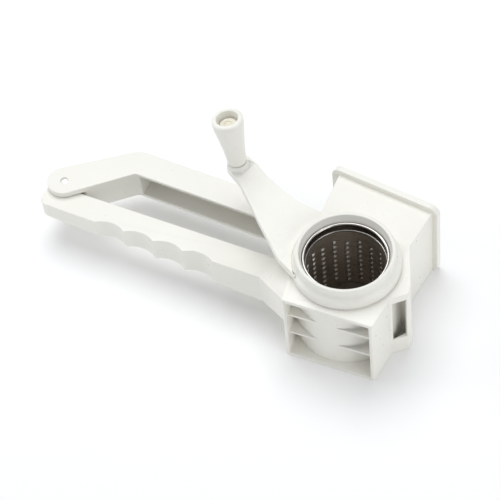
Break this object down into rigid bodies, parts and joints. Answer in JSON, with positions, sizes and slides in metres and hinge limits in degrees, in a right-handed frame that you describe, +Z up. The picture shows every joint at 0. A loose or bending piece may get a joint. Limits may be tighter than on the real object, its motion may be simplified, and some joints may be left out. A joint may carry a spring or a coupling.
{
  "type": "rotary cheese grater",
  "caption": "Hand-held rotary cheese grater: a steel grating drum turned by a crank, a hopper and a hinged lever that presses the food on the drum.",
  "frame": {"origin": "where the drum's axis meets the flat underside of the head", "axes": "+Z up along the drum's axis out of its open mouth, +X from the handles' hinge towards the head, +Y from the drum towards the hopper's mouth"},
  "size_m": [0.2507, 0.1043, 0.1129],
  "materials": {
    "white_moulding": "satin-gloss injection moulding",
    "drum_steel": "rolled stainless sheet, bright rim",
    "pin_plastic": "unpolished ivory moulding",
    "pin_steel": "turned stainless"
  },
  "bodies": {
    "housing": {"housing": "white_moulding", "hinge_pin": "pin_steel"},
    "lever": {"lever_arm": "white_moulding", "press_head": "white_moulding"},
    "crank": {"crank_arm": "white_moulding", "drum_collar": "drum_steel", "drum_screen": "drum_steel", "drum_end_disc": "drum_steel", "drum_axle": "white_moulding", "knob_pin": "pin_plastic"},
    "knob": {"knob": "white_moulding"}
  },
  "joints": [
    {"name": "lever_hinge", "type": "hinge", "parent": "housing", "child": "lever", "pos_m": [-0.198, 0, 0.028], "axis": [0, 0, 1], "range_deg": [0, 60]},
    {"name": "crank_spin", "type": "hinge", "parent": "housing", "child": "crank", "pos_m": [0, 0, 0.06], "axis": [0, 0, 1], "continuous": true},
    {"name": "knob_spin", "type": "hinge", "parent": "crank", "child": "knob", "pos_m": [-0.08664, 0.03034, 0.0764], "axis": [-0.1313, 0.046, 0.9903], "continuous": true}
  ]
}
